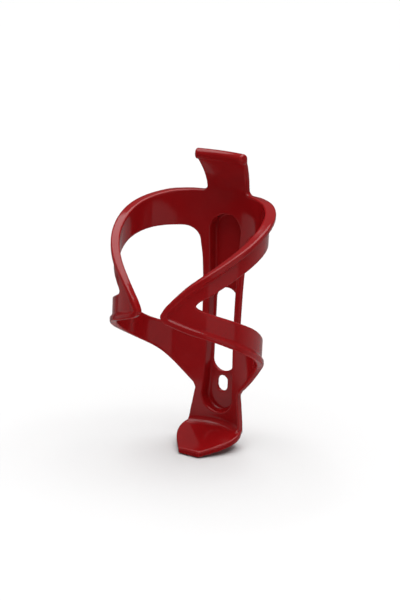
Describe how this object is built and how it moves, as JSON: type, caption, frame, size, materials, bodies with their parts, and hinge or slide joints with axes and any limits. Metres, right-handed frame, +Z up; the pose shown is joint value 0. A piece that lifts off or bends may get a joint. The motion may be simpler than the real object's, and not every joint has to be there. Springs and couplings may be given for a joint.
{
  "type": "water bottle cage",
  "caption": "Moulded red plastic bicycle bottle cage: a hoop with folded arms, a leaning top tab and a foot shelf on a spine that bolts on through slots.",
  "frame": {"origin": "middle of the mounting face, halfway between the two bolt slots, on the mirror plane", "axes": "+Z up along the bottle's axis, +Y out of the back towards the bicycle's tube, -Y the open front, +X the cage's own left when seen from behind"},
  "size_m": [0.0848, 0.0845, 0.1646],
  "materials": {
    "red_plastic": "gloss"
  },
  "bodies": {
    "root": {"back_panel": "red_plastic", "left_heel_rib": "red_plastic", "right_heel_rib": "red_plastic", "channel_wall_ring": "red_plastic", "channel_floor": "red_plastic", "top_tab": "red_plastic", "tab_lip": "red_plastic", "left_upper_arm": "red_plastic", "right_upper_arm": "red_plastic", "left_front_bend": "red_plastic", "right_front_bend": "red_plastic", "left_lower_arm": "red_plastic", "right_lower_arm": "red_plastic", "foot_shelf": "red_plastic"}
  },
  "joints": []
}
